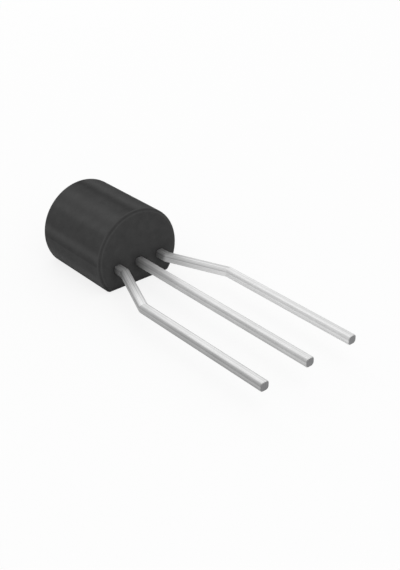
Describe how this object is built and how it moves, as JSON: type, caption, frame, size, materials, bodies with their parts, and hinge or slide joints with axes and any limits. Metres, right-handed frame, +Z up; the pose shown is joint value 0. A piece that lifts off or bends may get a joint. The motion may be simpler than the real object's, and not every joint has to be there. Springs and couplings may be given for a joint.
{
  "type": "voltage regulator",
  "caption": "Voltage regulator in a black half-round moulded package, lying on its flat side, with tinned leads splayed out for a circuit board.",
  "frame": {"origin": "centre of the body's flat side, which the part lies on", "axes": "+Z up from the flat side through the round back, -Y out along the leads to their tips, +X across the row from the input lead to the output lead"},
  "size_m": [0.0056, 0.0162, 0.0038],
  "materials": {
    "moulding_compound": "black filled epoxy moulding compound, fine matt grain",
    "tinned_lead": "bright matt tin plate over cold-rolled steel strip, bare steel at the cut tips",
    "silver_adhesive": "cured silver-filled die attach adhesive, dull",
    "silicon": "polished silicon under a thin glassy top layer",
    "gold_wire": "fine drawn gold bond wire"
  },
  "bodies": {
    "root": {"moulded_body": "moulding_compound", "output_lead": "tinned_lead", "ground_lead": "tinned_lead", "input_lead": "tinned_lead", "die_attach": "silver_adhesive", "regulator_die": "silicon", "output_bond_wire": "gold_wire", "ground_bond_wire": "gold_wire", "input_bond_wire": "gold_wire"}
  },
  "joints": []
}
